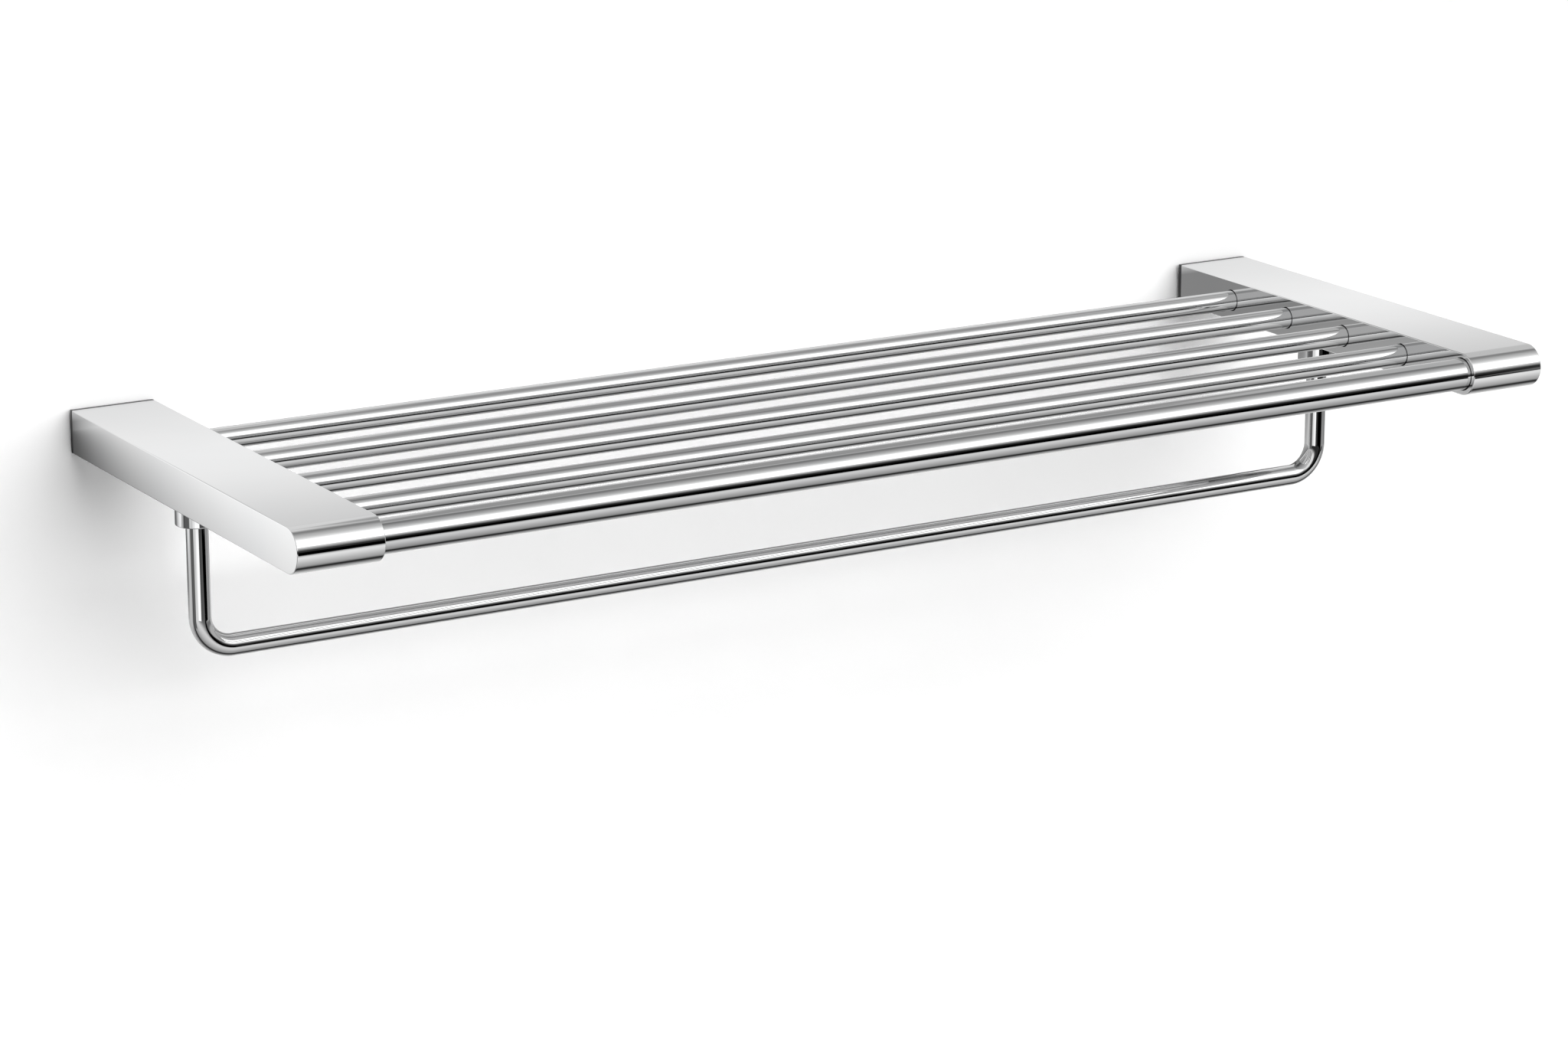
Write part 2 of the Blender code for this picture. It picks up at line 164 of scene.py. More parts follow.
def metal(name, dark, light, roughness, grain_scale, stretch, grain_depth, blotch_scale=18.0):
    """A metal whose tint, gloss and fine grain vary a little over the surface."""
    material, nodes = new_material(name)
    place = nodes.add("ShaderNodeTexCoord").outputs["Object"]
    blotches = nodes.noise(place, blotch_scale, detail=3.0)
    grain = nodes.noise(place, grain_scale, detail=5.0, roughness=0.6, stretch=stretch)
    tint = nodes.ramp(blotches, [(0.3, dark), (0.7, light)])
    wear = nodes.map(blotches, 0.35, 0.75, roughness[0], roughness[1])
    polish = nodes.map(grain, 0.3, 0.7, -0.25 * roughness[0], 0.25 * roughness[0])
    gloss = nodes.math("ADD", wear, polish, clamp=True)
    bump = nodes.add("ShaderNodeBump", None, Strength=1.0, Distance=grain_depth, Height=grain)
    shader = nodes.add(
        "ShaderNodeBsdfPrincipled", None,
        Base_Color=tint, Metallic=1.0, Roughness=gloss, Normal=bump.outputs["Normal"])
    nodes.add("ShaderNodeOutputMaterial", None, Surface=shader.outputs[0])
    return material


CHROME = metal(
    "polished_chrome", (0.625, 0.63, 0.635), (0.655, 0.655, 0.655), (0.012, 0.028),
    grain_scale=260.0, stretch=(0.25, 1, 1), grain_depth=0.0000003)
# Painted light: the arms get a lighter copy of the chrome, so they mirror their surroundings brighter, as if more
# brightly lit than the rods
LIGHTENED_ARM_CHROME = metal(
    "polished_chrome_arms_lightened", (0.77, 0.775, 0.78), (0.80, 0.80, 0.80), (0.02, 0.04),
    grain_scale=220.0, stretch=(1, 0.2, 1), grain_depth=0.0000004)
# Dark wall plates, which draw a dark line along the back edges of the arms
PLATE_METAL = metal(
    "dark_plate_metal", (0.10, 0.10, 0.105), (0.15, 0.15, 0.15), (0.28, 0.42),
    grain_scale=1100.0, stretch=(1, 1, 0.5), grain_depth=0.000012, blotch_scale=70.0)
SCREW_STEEL = metal(
    "screw_steel", (0.52, 0.52, 0.53), (0.66, 0.66, 0.65), (0.2, 0.34),
    grain_scale=1400.0, stretch=(1, 1, 1), grain_depth=0.000006, blotch_scale=150.0)
ZINC = metal(
    "zinc_plate", (0.50, 0.51, 0.50), (0.64, 0.65, 0.61), (0.3, 0.45),
    grain_scale=1100.0, stretch=(1, 1, 1), grain_depth=0.00001, blotch_scale=120.0)


# ---------------------------------------------------------------- shape helpers

TURN_TO = {
    "+X": Matrix.Rotation(pi / 2, 4, "Y"), "-X": Matrix.Rotation(-pi / 2, 4, "Y"),
    "+Y": Matrix.Rotation(-pi / 2, 4, "X"), "-Y": Matrix.Rotation(pi / 2, 4, "X"),
    "+Z": Matrix.Identity(4), "-Z": Matrix.Rotation(pi, 4, "X")}


def link(name, mesh):
    piece = bpy.data.objects.new(name, mesh)
    bpy.context.scene.collection.objects.link(piece)
    return piece


def as_object(name, shape):
    """The finished bmesh as an object, with its faces pointing out."""
    mesh = bpy.data.meshes.new(name)
    bmesh.ops.remove_doubles(shape, verts=shape.verts, dist=WELD)
    bmesh.ops.recalc_face_normals(shape, faces=shape.faces)
    shape.to_mesh(mesh)
    shape.free()
    return link(name, mesh)


def combine(piece, operation, *tools):
    """Cuts the tools out of the piece, or joins them to it, for good, and removes them."""
    for tool in tools:
        step = piece.modifiers.new(tool.name, "BOOLEAN")
        step.operation = operation
        step.solver = "EXACT"
        step.object = tool
    bpy.context.view_layer.update()
    evaluated = piece.evaluated_get(bpy.context.evaluated_depsgraph_get())
    mesh = bpy.data.meshes.new_from_object(evaluated)
    mesh.name = piece.name
    piece.modifiers.clear()
    piece.data = mesh
    for tool in tools:
        bpy.data.objects.remove(tool, do_unlink=True)


def finish_piece(piece, material, node):
    """Shading that keeps flat faces flat, the finish, and the CAD node that the piece stands for."""
    mesh = piece.data
    mesh.materials.clear()
    mesh.materials.append(material)
    mesh.shade_smooth()
    mesh.set_sharp_from_angle(angle=SHARP_ANGLE)
    normals = piece.modifiers.new("flat_faces", "WEIGHTED_NORMAL")
    normals.mode = "FACE_AREA"
    normals.keep_sharp = True
    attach(piece, "root")
    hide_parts(node)


def turned(profile, axis, centre, steps=ROUND_STEPS, ring=False):
    """A profile of (radius, height) turned about an axis; a ring's profile closes on itself."""
    shape = bmesh.new()
    points = [shape.verts.new((radius, 0, height)) for radius, height in profile]
    edges = [shape.edges.new(pair) for pair in zip(points, points[1:])]
    if ring:
        edges.append(shape.edges.new((points[-1], points[0])))
    bmesh.ops.spin(
        shape, geom=points + edges, axis=(0, 0, 1), cent=(0, 0, 0), steps=steps, angle=2 * pi,
        use_merge=True)
    bmesh.ops.remove_doubles(shape, verts=shape.verts, dist=WELD)
    shape.transform(Matrix.Translation(centre) @ TURN_TO[axis])
    return shape


def loft(shape, rings):
    """Skins closed rings of equally many points, or single points at the ends."""
    for ring, following in zip(rings, rings[1:]):
        count = max(len(ring), len(following))
        for step in range(count):
            after = (step + 1) % count
            corners = [ring[step % len(ring)], ring[after % len(ring)],
                       following[after % len(following)], following[step % len(following)]]
            shape.faces.new(list(dict.fromkeys(corners)))


def threaded(profile, threads, pitch, depth, axis, centre, steps=SMALL_STEPS):
    """A profile turned from end to end, with a helical thread between the heights in threads."""
    start, end = threads
    shape = bmesh.new()
    rings = []
    for (radius, height), (next_radius, next_height) in zip(profile, profile[1:] + profile[-1:]):
        inside = min(height, next_height) >= start - WELD and max(height, next_height) <= end + WELD
        rows = max(1, ceil(abs(next_height - height) / pitch * THREAD_ROWS)) if inside else 1
        for row in range(rows):
            along = row / rows
            ring_height = height + (next_height - height) * along
            ring_radius = radius + (next_radius - radius) * along
            if ring_radius == 0:
                rings.append([shape.verts.new((0, 0, ring_height))])
                continue
            fade = min(1.0, max(0.0, min(ring_height - start, end - ring_height)) / pitch)
            ring = []
            for step in range(steps):
                turn = (ring_height / pitch - step / steps) % 1.0
                groove = fade * depth * min(1.0, 1.6 * abs(2 * turn - 1)) if inside else 0.0
                reach = max(ring_radius - groove, ring_radius * 0.4)
                angle = 2 * pi * step / steps
                ring.append(shape.verts.new((reach * cos(angle), reach * sin(angle), ring_height)))
            rings.append(ring)
    loft(shape, rings)
    shape.transform(Matrix.Translation(centre) @ TURN_TO[axis])
    return shape


def round_tool(name, axis, mouth, depth, radius, steps=SMALL_STEPS, rim=0.0):
    """Cuts a round hole from its mouth along an axis; rim is a small chamfer at the mouth."""
    profile = [(0, -OVERCUT), (radius + rim, -OVERCUT)]
    if rim:
        profile += [(radius + rim, 0), (radius, rim)]
    profile += [(radius, depth), (0, depth)]
    return as_object(name, turned(profile, axis, mouth, steps))


def block(low, high, edge=0.0):
    """A box between two corners, its edges rounded if edge is given."""
    low, high = Vector(low), Vector(high)
    shape = bmesh.new()
    bmesh.ops.create_cube(shape, size=1)
    shape.transform(Matrix.Translation((low + high) / 2) @ Matrix.Diagonal((*(high - low), 1)))
    if edge:
        bmesh.ops.bevel(
            shape, geom=list(shape.edges), offset=edge, segments=3, profile=0.5, affect="EDGES")
    return shape


def middle(node):
    low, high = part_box(node)
    return (low + high) / 2


def half_size(node, axis):
    low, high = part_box(node)
    return (high - low)["XYZ".index(axis)] / 2


# ---------------------------------------------------------------- arms and wall plates

def arm_body(low, high):
    """A flat bar with a full-round nose at -Y, its long edges slightly rounded."""
    half = (high.z - low.z) / 2
    nose_y = low.y + half
    mid_z = (low.z + high.z) / 2
    outline = [(high.y, high.z)]
    for step in range(NOSE_STEPS + 1):
        angle = pi / 2 + pi * step / NOSE_STEPS
        outline.append((nose_y + half * cos(angle), mid_z + half * sin(angle)))
    outline.append((high.y, low.z))
    shape = bmesh.new()
    face = shape.faces.new([shape.verts.new((low.x, y, z)) for y, z in outline])
    grown = bmesh.ops.extrude_face_region(shape, geom=[face])
    moved = [item for item in grown["geom"] if isinstance(item, bmesh.types.BMVert)]
    bmesh.ops.translate(shape, verts=moved, vec=(high.x - low.x, 0, 0))
    bmesh.ops.recalc_face_normals(shape, faces=shape.faces)
    corners = [edge for edge in shape.edges if edge.calc_face_angle() > pi / 4]
    bmesh.ops.bevel(
        shape, geom=corners, offset=ARM_EDGE, segments=4, profile=0.5, affect="EDGES",
        clamp_overlap=True)
    return shape


def pocket_span(side_name, side, clearance=0.0):
    """Lowest and highest X of the pocket inside an arm."""
    low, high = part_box(f"bracket_{side_name}")
    inner_x, outer_x = (low.x, high.x) if side > 0 else (high.x, low.x)
    ends = (inner_x + side * (SOCKET_WALL + clearance), outer_x - side * (ARM_WALL + clearance))
    return min(ends), max(ends)


def build_arm(side_name, side):
    name = f"bracket_{side_name}"
    low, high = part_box(name)
    inner_x = low.x if side > 0 else high.x
    arm = as_object(f"arm_{side_name}", arm_body(low, high))

    left, right = pocket_span(side_name, side)
    pocket = block(
        (left, low.y + NOSE_BLOCK, low.z + ARM_WALL), (right, high.y + OVERCUT, high.z - ARM_WALL))
    tools = [as_object("pocket", pocket)]
    for rod in (*(f"shelf_rod_{number}" for number in range(1, ROD_COUNT + 1)), "front_tube"):
        rod_low, rod_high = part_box(rod)
        end_x = rod_high.x if side > 0 else rod_low.x
        tools.append(round_tool(
            f"{rod}_socket", "+X" if side > 0 else "-X", (inner_x, middle(rod).y, middle(rod).z),
            abs(end_x - inner_x) + CLEARANCE, half_size(rod, "Z") + CLEARANCE, ROUND_STEPS, SOCKET_RIM))
    holes = {
        f"bracket_grub_screw_{side_name}": half_size(f"bracket_grub_screw_{side_name}", "X"),
        f"front_tube_grub_screw_{side_name}": half_size(f"front_tube_grub_screw_{side_name}", "X"),
        f"threaded_insert_{side_name}": INSERT_BODY}
    for fastener, radius in holes.items():
        place = middle(fastener)
        tools.append(round_tool(
            f"{fastener}_hole", "+Z", (place.x, place.y, low.z), SCREW_HOLE_DEPTH, radius + CLEARANCE,
            rim=SOCKET_RIM))
    combine(arm, "DIFFERENCE", *tools)
    finish_piece(arm, LIGHTENED_ARM_CHROME, name)


def build_wall_plate(side_name, side):
    """A thin plate with a thick tongue on its front, bored for two wall screws."""
    name = f"wall_plate_{side_name}"
    low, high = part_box(name)
    rim = Vector((low.x, high.y - PLATE_THICKNESS, low.z))
    plate = as_object(f"{name}_cast", block(rim, high, PLATE_EDGE))
    left, right = pocket_span(side_name, side, CLEARANCE)
    thin = ARM_WALL + CLEARANCE
    tongue = block(
        (left, low.y, low.z + thin), (right, high.y - PLATE_THICKNESS / 2, high.z - thin), PLATE_EDGE)
    combine(plate, "UNION", as_object("tongue", tongue))

    tools = []
    for number in (1, 2):
        screw = f"wall_screw_{side_name}_{number}"
        place = middle(screw)
        back = (place.x, high.y, place.z)
        seat = (place.x, high.y - PLATE_SEAT, place.z)
        tools.append(round_tool(
            f"{screw}_hole", "-Y", back, -low.y / 2, WALL_SCREW + CLEARANCE, rim=SOCKET_RIM))
        tools.append(round_tool(
            f"{screw}_counterbore", "-Y", (place.x, seat[1] - OVERCUT, place.z),
            -low.y, half_size(screw, "X") + CLEARANCE))
    grub = f"bracket_grub_screw_{side_name}"
    grub_low, grub_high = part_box(grub)
    tools.append(round_tool(
        "dimple", "+Z", (middle(grub).x, middle(grub).y, grub_low.z), grub_high.z - grub_low.z + CLEARANCE,
        half_size(grub, "X") + CLEARANCE))
    combine(plate, "DIFFERENCE", *tools)
    finish_piece(plate, PLATE_METAL, name)


# ---------------------------------------------------------------- rods, tube and rail

def build_pipe(node):
    """A straight rod or tube along X, hollow, with slightly broken rims."""
    radius, half_length = half_size(node, "Z"), half_size(node, "X")
    bore = radius - PIPE_WALL
    profile = [
        (radius - PIPE_RIM, half_length), (radius, half_length - PIPE_RIM),
        (radius, PIPE_RIM - half_length), (radius - PIPE_RIM, -half_length),
        (bore, -half_length), (bore, half_length)]
    piece = as_object(f"{node}_polished", turned(profile, "+X", middle(node), ring=True))
    if node == "front_tube":
        screws = [f"front_tube_grub_screw_{side_name}" for side_name in SIDES]
        combine(piece, "DIFFERENCE", *(
            round_tool(
                f"{screw}_hole", "+Z", (middle(screw).x, middle(screw).y, middle(node).z - radius),
                radius / 2, half_size(screw, "X") + CLEARANCE)
            for screw in screws))
    finish_piece(piece, CHROME, node)


def build_plug(side_name):
    node = f"front_tube_plug_{side_name}"
    grub = f"front_tube_grub_screw_{side_name}"
    radius, end = half_size(node, "Z"), half_size(node, "X")
    profile = [
        (0, end), (radius - 2 * SCREW_CHAMFER, end), (radius, end - 2 * SCREW_CHAMFER),
        (radius, 2 * SCREW_CHAMFER - end), (radius - 2 * SCREW_CHAMFER, -end), (0, -end)]
    plug = as_object(f"{node}_turned", turned(profile, "+X", middle(node), SMALL_STEPS))
    grub_low, grub_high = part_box(grub)
    dimple = round_tool(
        "dimple", "+Z", (middle(grub).x, middle(grub).y, grub_low.z),
        grub_high.z - grub_low.z + CLEARANCE, half_size(grub, "X") + CLEARANCE)
    combine(plug, "DIFFERENCE", dimple)
    finish_piece(plug, ZINC, node)


def build_rail():
    """The U-bent rail: a circle swept down one leg, along the bar and up the other leg."""
    low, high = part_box("hanging_rail")
    radius = (high.y - low.y) / 2
    mid_y = (low.y + high.y) / 2
    bend = 3 * radius
    left, right, bottom = low.x + radius, high.x - radius, low.z + radius
    route = [((left, high.z), pi, radius - PIPE_RIM), ((left, high.z - PIPE_RIM), pi, radius)]
    for corner_x, first in ((left + bend, pi), (right - bend, 3 * pi / 2)):
        for step in range(BEND_STEPS + 1):
            angle = first + pi / 2 * step / BEND_STEPS
            place = (corner_x + bend * cos(angle), bottom + bend + bend * sin(angle))
            route.append((place, angle, radius))
    route += [((right, high.z - PIPE_RIM), 0.0, radius), ((right, high.z), 0.0, radius - PIPE_RIM)]
    shape = bmesh.new()
    rings = [[shape.verts.new((left, mid_y, high.z))]]
    for (x, z), outward, reach in route:
        turns = [2 * pi * step / ROUND_STEPS for step in range(ROUND_STEPS)]
        rings.append([
            shape.verts.new((
                x + reach * cos(turn) * cos(outward), mid_y + reach * sin(turn),
                z + reach * cos(turn) * sin(outward)))
            for turn in turns])
    rings.append([shape.verts.new((right, mid_y, high.z))])
    loft(shape, rings)
    finish_piece(as_object("hanging_rail_polished", shape), CHROME, "hanging_rail")


# ---------------------------------------------------------------- collars and fasteners

def build_collar(side_name):
    node = f"rail_collar_{side_name}"
    low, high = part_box(node)
    place = middle(node)
    radius = half_size(node, "X")
    bore = half_size("hanging_rail", "Y") + CLEARANCE
    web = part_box("hanging_rail")[1].z + CLEARANCE
    hole = COLLAR_SCREW + CLEARANCE
    flange_seat = high.z - FLANGE - CLEARANCE
    flange_room = half_size(f"threaded_insert_{side_name}", "X") + CLEARANCE
    rounding = [
        (COLLAR_EDGE * (1 - sin(pi / 2 * step / 4)), COLLAR_EDGE * (1 - cos(pi / 2 * step / 4)))
        for step in range(5)]
    profile = [(radius - inset, high.z - drop) for inset, drop in rounding]
    profile += [(radius - inset, low.z + drop) for inset, drop in reversed(rounding)]
    profile += [
        (bore + SOCKET_RIM, low.z), (bore, low.z + SOCKET_RIM), (bore, web),
        (COLLAR_SCREW_HEAD + CLEARANCE, web), (hole, web + COUNTERSINK), (hole, flange_seat),
        (flange_room, flange_seat), (flange_room, high.z)]
    collar = as_object(
        f"collar_{side_name}", turned(profile, "+Z", (place.x, place.y, 0), ring=True))
    grub = f"collar_grub_screw_{side_name}"
    hole = round_tool(
        "grub_hole", "-Y", (place.x, high.y, middle(grub).z), radius, half_size(grub, "X") + CLEARANCE)
    combine(collar, "DIFFERENCE", hole)
    finish_piece(collar, CHROME, node)


def build_insert(side_name):
    """A rivet nut: flange below the arm's wall, bulge above it, open bore."""
    node = f"threaded_insert_{side_name}"
    low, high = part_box(node)
    arm_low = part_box(f"bracket_{side_name}")[0]
    wall_top = arm_low.z + ARM_WALL + CLEARANCE
    flange_top = low.z + FLANGE
    bore = COLLAR_SCREW + CLEARANCE
    bulge = [
        (INSERT_BODY + (INSERT_BULGE - INSERT_BODY) * sin(pi * step / 12),
         wall_top + INSERT_BULGE_HEIGHT * (1 - step / 12))
        for step in range(13)]
    profile = [
        (INSERT_BODY, high.z), *bulge, (INSERT_BODY, flange_top), (half_size(node, "X"), flange_top),
        (half_size(node, "X"), low.z), (bore, low.z), (bore, high.z)]
    place = middle(node)
    shape = turned(profile, "+Z", (place.x, place.y, 0), SMALL_STEPS, ring=True)
    finish_piece(as_object(f"{node}_plated", shape), ZINC, node)


def build_collar_screw(side_name):
    node = f"collar_screw_{side_name}"
    low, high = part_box(node)
    length = high.z - low.z
    place = (middle(node).x, middle(node).y, low.z)
    profile = [
        (0, 0), (COLLAR_SCREW_HEAD, 0), (COLLAR_SCREW, COUNTERSINK), (COLLAR_SCREW, length - SCREW_CHAMFER),
        (COLLAR_SCREW - SCREW_CHAMFER, length), (0, length)]
    shape = threaded(profile, (COUNTERSINK, length - SCREW_CHAMFER), **COLLAR_THREAD, axis="+Z", centre=place)
    screw = as_object(f"{node}_steel", shape)
    combine(screw, "DIFFERENCE", round_tool("hexagon", "+Z", place, DRIVE_DEPTH, 0.0017, steps=6))
    finish_piece(screw, SCREW_STEEL, node)


def build_grub_screw(node, outward):
    """A hexagon-socket grub screw; outward is the way that its socket faces."""
    axis = outward[1]
    low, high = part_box(node)
    mouth = middle(node)
    sign = 1 if outward[0] == "+" else -1
    place = "XYZ".index(axis)
    mouth[place] = high[place] if sign > 0 else low[place]
    inward = ("-" if sign > 0 else "+") + axis
    radius = half_size(node, "X")
    length = 2 * half_size(node, axis)
    point = 2 * SCREW_CHAMFER
    profile = [
        (0, 0), (radius - SCREW_CHAMFER, 0), (radius, SCREW_CHAMFER), (radius, length - point),
        (radius - point, length), (0, length)]
    shape = threaded(profile, (SCREW_CHAMFER, length - point), **FINE_THREAD, axis=inward, centre=mouth)
    screw = as_object(f"{node}_steel", shape)
    combine(screw, "DIFFERENCE", round_tool("hexagon", inward, mouth, DRIVE_DEPTH, 0.00115, steps=6))
    finish_piece(screw, SCREW_STEEL, node)


def build_wall_screw(node):
    """A cross-recess pan-head screw with a wood thread and a point."""
    low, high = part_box(node)
    place = (middle(node).x, low.y, middle(node).z)
    head = half_size(node, "X")
    seat = WALL_SCREW_HEAD_HEIGHT
    crown = 0.35 * seat
    length = high.y - low.y
    dome = [(head * sin(angle), crown * (1 - cos(angle))) for angle in (pi / 2 * step / 10 for step in range(11))]
    profile = [
        *dome, (head, seat), (WALL_SCREW, seat), (WALL_SCREW, seat + WALL_SCREW_NECK),
        (WALL_SCREW, length - WALL_SCREW_POINT), (0.0002, length), (0, length)]
    shape = threaded(
        profile, (seat + WALL_SCREW_NECK, length), **WOOD_THREAD, axis="+Y", centre=place)
    screw = as_object(f"{node}_steel", shape)
    reach, width = 0.55 * head, 0.12 * head
    slots = [
        as_object(f"slot_{number}", block(
            (place[0] - half_x, low.y - OVERCUT, place[2] - half_z),
            (place[0] + half_x, low.y + DRIVE_DEPTH, place[2] + half_z)))
        for number, (half_x, half_z) in enumerate(((reach, width), (width, reach)))]
    combine(screw, "DIFFERENCE", *slots)
    finish_piece(screw, SCREW_STEEL, node)


# ---------------------------------------------------------------- studio

# Long lights that run parallel to the wall: angle from straight ahead of the rack (0), up over
# the top (90) to the wall (180), and brightness there
STRIP_LIGHTS = [
    (-180, 0.75), (-140, 0.70), (-122, 0.50), (-105, 0.18), (-98, 0.03), (-89, 0.03), (-82, 0.28),
    (-75, 0.43), (-63, 0.54), (-54, 0.64), (-45, 0.76), (-36, 0.88), (-28, 0.96), (-23, 0.72),
    (-18, 0.20), (-14, 0.04), (3, 0.03), (10, 0.28), (20.5, 0.93), (23.5, 2.20), (47, 2.20),
    (56, 1.25), (63, 0.88), (71, 0.65), (80, 0.53), (88, 0.37), (97, 0.24), (104, 0.42),
    (110, 0.70), (117, 0.76), (135, 0.46), (180, 0.38)]

# Separate panels: azimuth and height of the centre, half width and half height, softness, all in
# degrees, and brightness
PANELS = {
    "left_dimmer": (-80, 35, 78, 28, 10, 0.70),
    "front_dimmer": (-6, 34, 26, 26, 3, 1.10),
    "right_dimmer": (73, 6, 29, 17, 1.5, 0.60),
    "left_softbox": (-45, -12.6, 19, 2.4, 0.6, 1.6),
    "low_left_softbox": (-28, -16.6, 18, 1.6, 0.6, 1.6),
    "soft_left_card": (-43.5, -16.8, 9, 1.9, 4, 0.92),
    "soft_right_card": (-56.5, -13.2, 9, 1.9, 4, 0.90),
    "left_black_card": (-76, -14, 13, 20, 3, 0.155),
    "far_left_card": (-119, -14, 11, 16, 6, 0.78),
    "right_grey_card": (66, -11, 27, 4, 3, 0.22),
    "low_right_grey_card": (80, -19, 22, 4, 0.6, 0.42),
    "black_card": (30.8, -9.6, 7.8, 6.7, 0.6, 0.0),
    "wide_black_card": (17.5, -13.8, 22.5, 1.3, 0.4, 0.0),
    "low_black_card": (45, -16.1, 16, 1.1, 0.4, 0.0),
    "rear_left_light": (-150, 28, 22, 16, 6, 1.2)}


# The painted glow on the wall behind the rods: middle height, half height, softness and brightness
PAINTED_GLOW_HEIGHT = -0.028
PAINTED_GLOW_HALF_HEIGHT = 0.044
PAINTED_GLOW_EDGE = 0.01
PAINTED_GLOW_LEVEL = 0.14


def studio_world():
    """What the metal mirrors: strips by angle around the X axis, with panels on them."""
    world = bpy.data.worlds.new("studio")
    bpy.context.scene.world = world
    world.use_nodes = True
    world.cycles_visibility.diffuse = False
    nodes = Nodes(world.node_tree)
    direction = nodes.add("ShaderNodeTexCoord").outputs["Generated"]
    x, y, z = nodes.add("ShaderNodeSeparateXYZ", None, Vector=direction).outputs
    front = nodes.math("MULTIPLY", y, -1.0)
    around = nodes.math("DEGREES", nodes.math("ARCTAN2", z, front))
    azimuth = nodes.math("DEGREES", nodes.math("ARCTAN2", x, front))
    height = nodes.math("DEGREES", nodes.math("ARCSINE", z))
    strips = [((angle + 180) / 360, (level,) * 3) for angle, level in STRIP_LIGHTS]
    level = nodes.math("MULTIPLY", nodes.ramp(nodes.map(around, -180.0, 180.0, 0.0, 1.0), strips), 1.0)
    for panel_azimuth, panel_height, half_width, half_height, softness, brightness in PANELS.values():
        share = nodes.math(
            "MULTIPLY", nodes.window(azimuth, panel_azimuth, half_width, softness),
            nodes.window(height, panel_height, half_height, softness))
        level = nodes.blend(share, level, brightness)
    studio = nodes.add("ShaderNodeBackground", None, Color=(1, 1, 1, 1), Strength=level)
    pale = nodes.add("ShaderNodeBackground", None, Color=(1, 1, 1, 1), Strength=0.82)
    seen = nodes.add("ShaderNodeLightPath").outputs["Is Camera Ray"]
    mixed = nodes.add("ShaderNodeMixShader", None, Fac=seen, i1=studio.outputs[0], i2=pale.outputs[0])
    nodes.add("ShaderNodeOutputWorld", None, Surface=mixed.outputs[0])


def front_only(nodes, shader):
    """The shader in front and nothing behind, so that a backdrop never hides the rack."""
    behind = nodes.add("ShaderNodeNewGeometry").outputs["Backfacing"]
    clear = nodes.add("ShaderNodeBsdfTransparent").outputs[0]
    mixed = nodes.add("ShaderNodeMixShader", None, Fac=behind, i1=shader, i2=clear)
    nodes.add("ShaderNodeOutputMaterial", None, Surface=mixed.outputs[0])


def staged(name, shape, material):
    """A part of the studio, seen from the side where its corners run anticlockwise."""
    mesh = bpy.data.meshes.new(name)
    shape.to_mesh(mesh)
    shape.free()
    mesh.materials.append(material)
    piece = link(name, mesh)
    return piece


def painted_glow_behind_rods(nodes, place):
    """A painted glow on the wall between the arms, behind the rods, standing in for light that the polished rods
    throw back.
    """
    x, _, z = nodes.add("ShaderNodeSeparateXYZ", None, Vector=place).outputs
    half_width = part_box("bracket_right")[0].x - PAINTED_GLOW_EDGE
    between = nodes.window(x, 0.0, half_width, PAINTED_GLOW_EDGE)
    behind = nodes.window(z, PAINTED_GLOW_HEIGHT, PAINTED_GLOW_HALF_HEIGHT, PAINTED_GLOW_EDGE)
    strength = nodes.math("MULTIPLY", nodes.math("MULTIPLY", between, behind), PAINTED_GLOW_LEVEL)
    return nodes.add("ShaderNodeEmission", None, Color=(1, 1, 1, 1), Strength=strength).outputs[0]


def backdrop(name, corners, brightness, painted_glow=False):
    """A pale painted plane, with a faint plaster tone, that the metal doesn't mirror; with painted_glow, a painted
    glow is added on it behind the rods.
    """
    material, nodes = new_material(name)
    place = nodes.add("ShaderNodeTexCoord").outputs["Object"]
    plaster = nodes.noise(place, 14.0, detail=6.0)
    tone = nodes.ramp(plaster, [(0.3, (brightness,) * 3), (0.7, (brightness + 0.01,) * 3)])
    paint = nodes.add("ShaderNodeBsdfDiffuse", None, Color=tone, Roughness=0.8)
    shader = paint.outputs[0]
    if painted_glow:
        shader = nodes.add("ShaderNodeAddShader", None, i0=shader, i1=painted_glow_behind_rods(nodes, place)).outputs[0]
    front_only(nodes, shader)
    shape = bmesh.new()
    shape.faces.new([shape.verts.new(corner) for corner in corners])
    staged(name, shape, material).visible_glossy = False


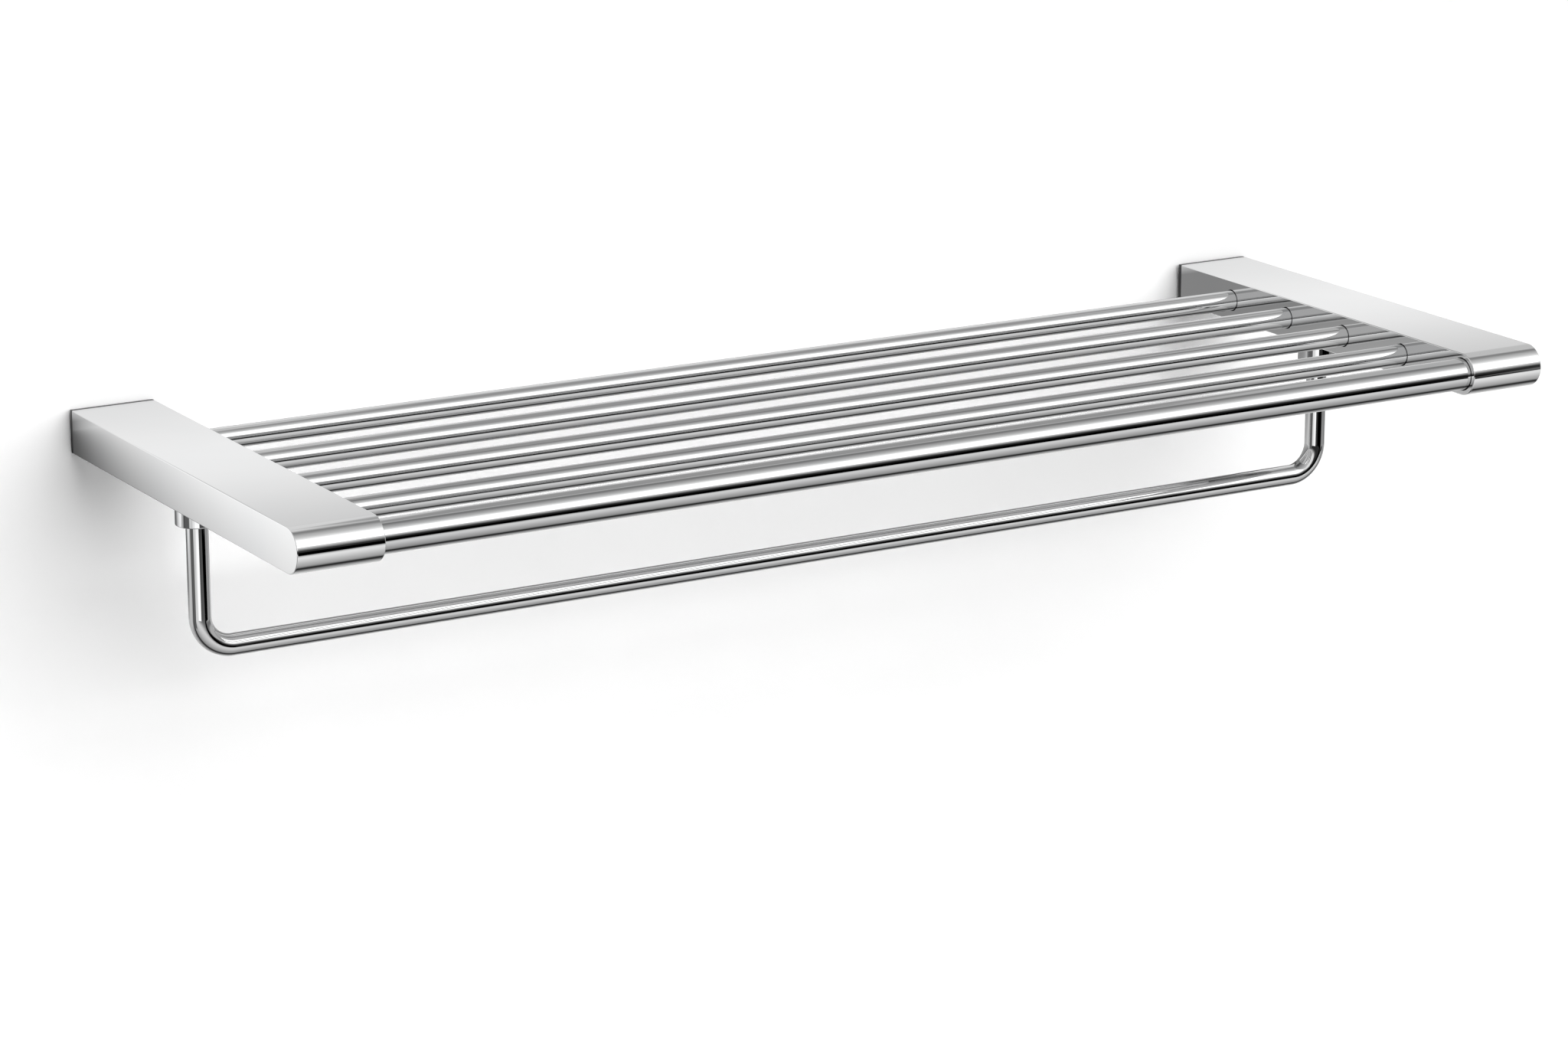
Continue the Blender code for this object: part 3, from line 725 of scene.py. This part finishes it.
def painted_wall_reflection():
    """A glowing card in front of the wall, seen only in the metal: a painted reflection of the wall, with painted
    shade beside and below the arms, under the shelf between them and above the shelf towards the middle.
    """
    material, nodes = new_material("painted_wall_reflection")
    place = nodes.add("ShaderNodeTexCoord").outputs["Object"]
    x, _, z = nodes.add("ShaderNodeSeparateXYZ", None, Vector=place).outputs
    arm_low, arm_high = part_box("bracket_right")
    # Painted shadow beside and below each arm, fading away from it and upwards
    beyond = nodes.math("SUBTRACT", nodes.math("ABSOLUTE", x), arm_high.x)
    out = nodes.math("MAXIMUM", beyond, 0.0001)
    lift = nodes.math("MAXIMUM", z, 0.0)
    drop = nodes.math("MAXIMUM", nodes.math("MULTIPLY", z, -1.0), 0.0)
    spread = nodes.math("MULTIPLY_ADD", nodes.math("MULTIPLY_ADD", drop, 42.0, 2.3), drop, out)
    share = nodes.math("DIVIDE", nodes.math("MULTIPLY", out, out), spread)
    away = nodes.math("MULTIPLY_ADD", share, 8.0, lift)
    shade = nodes.math("EXPONENT", nodes.math("MULTIPLY", away, -1 / SHADE_LENGTH))
    beside = nodes.math("MULTIPLY_ADD", shade, -0.935 * WALL_LEVEL, WALL_LEVEL)
    # Painted shade under the shelf between the arms, darkest near the shelf
    between = nodes.map(z, -0.09, -0.02, 0.56, 0.28)
    lower = nodes.blend(nodes.map(beyond, -0.004, 0.0, 0.0, 1.0), between, beside)
    # Above the shelf, painted shade that changes with height; higher up it is darker from the left towards the
    # middle and lighter again beyond the right arm
    near = nodes.map(z, 0.010, 0.036, 0.88, 1.01)
    left_part = nodes.map(x, -0.15, -0.10, 0.80, 0.44, smooth=True)
    high = nodes.blend(nodes.map(x, 0.38, 0.43, 0.0, 1.0, smooth=True), left_part, 0.62)
    low = nodes.blend(nodes.map(z, 0.040, 0.090, 0.0, 1.0, smooth=True), near, 0.70)
    upper = nodes.blend(nodes.map(z, 0.090, 0.140, 0.0, 1.0, smooth=True), low, high)
    level = nodes.blend(nodes.map(z, 0.004, 0.012, 0.0, 1.0), lower, upper)
    painted_glow = nodes.add("ShaderNodeEmission", None, Color=(1, 1, 1, 1), Strength=level).outputs[0]
    behind_plate = nodes.math(
        "MULTIPLY", nodes.window(z, 0.0, arm_high.z, 0.0001),
        nodes.window(nodes.math("ABSOLUTE", x), (arm_low.x + arm_high.x) / 2, (arm_high.x - arm_low.x) / 2, 0.0001))
    inside = nodes.math("MULTIPLY", nodes.map(z, -0.10, -0.08, 0.0, 1.0), nodes.window(x, 0.0, 0.72, 0.03))
    shown = nodes.math("MULTIPLY", inside, nodes.math("SUBTRACT", 1.0, behind_plate))
    clear = nodes.add("ShaderNodeBsdfTransparent").outputs[0]
    mixed = nodes.add("ShaderNodeMixShader", None, Fac=shown, i1=clear, i2=painted_glow)
    front_only(nodes, mixed.outputs[0])
    shape = bmesh.new()
    outline = ((CARD_Y, -0.1), (CARD_Y, CARD_TOP), (CARD_FRONT, CARD_TOP))
    left, right = ([shape.verts.new((end, y, z)) for y, z in outline] for end in (-0.8, 0.8))
    for step in (0, 1):
        shape.faces.new((left[step], right[step], right[step + 1], left[step + 1]))
    card = staged("painted_wall_reflection", shape, material)
    card.visible_camera = False
    card.visible_diffuse = False
    card.visible_shadow = False


CARD_Y = 0.0012
CARD_TOP = 0.375
CARD_FRONT = -0.095
WALL_LEVEL = 1.5
SHADE_LENGTH = 0.168


def soft_light(name, azimuth, height, spread, power):
    """Even, soft light from one side of the sky that doesn't show in the metal."""
    light = bpy.data.lights.new(name, "SUN")
    light.angle = radians(spread)
    light.energy = power
    lamp = bpy.data.objects.new(name, light)
    lamp.rotation_euler = (pi / 2 - radians(height), 0, radians(azimuth))
    lamp.visible_glossy = False
    lamp.visible_camera = False
    bpy.context.scene.collection.objects.link(lamp)


# The camera stands in front of the rack, to its left and above it
CAMERA_PLACE = (-1.0886, -1.9241, 0.5178)
CAMERA_AZIMUTH = 0.5338
CAMERA_PITCH = 0.2673
CAMERA_LENS = 108.2


def build_camera():
    data = bpy.data.cameras.new("camera")
    data.lens = CAMERA_LENS
    data.sensor_width = 36.0
    data.clip_end = 50.0
    camera = bpy.data.objects.new("camera", data)
    camera.location = CAMERA_PLACE
    camera.rotation_euler = (pi / 2 - CAMERA_PITCH, 0, -CAMERA_AZIMUTH)
    bpy.context.scene.collection.objects.link(camera)
    bpy.context.scene.camera = camera


def build_studio():
    bpy.context.scene.view_settings.view_transform = "Standard"
    studio_world()
    reach, low, high, wall_y = 4.0, -0.6, 3.0, 0.0016
    backdrop(
        "wall", ((-reach, wall_y, low), (reach, wall_y, low), (reach, wall_y, high), (-reach, wall_y, high)),
        0.90, painted_glow=True)
    backdrop(
        "floor", ((-reach, -reach, low), (reach, -reach, low), (reach, wall_y, low), (-reach, wall_y, low)),
        0.88)
    painted_wall_reflection()
    soft_light("key", 25, 32, 75, 4.05)


build_camera()
for side_name, side in SIDES.items():
    build_arm(side_name, side)
    build_wall_plate(side_name, side)
    build_plug(side_name)
    build_collar(side_name)
    build_insert(side_name)
    build_collar_screw(side_name)
    build_grub_screw(f"bracket_grub_screw_{side_name}", "-Z")
    build_grub_screw(f"front_tube_grub_screw_{side_name}", "-Z")
    build_grub_screw(f"collar_grub_screw_{side_name}", "+Y")
    for number in (1, 2):
        build_wall_screw(f"wall_screw_{side_name}_{number}")
for number in range(1, ROD_COUNT + 1):
    build_pipe(f"shelf_rod_{number}")
build_pipe("front_tube")
build_rail()
build_studio()
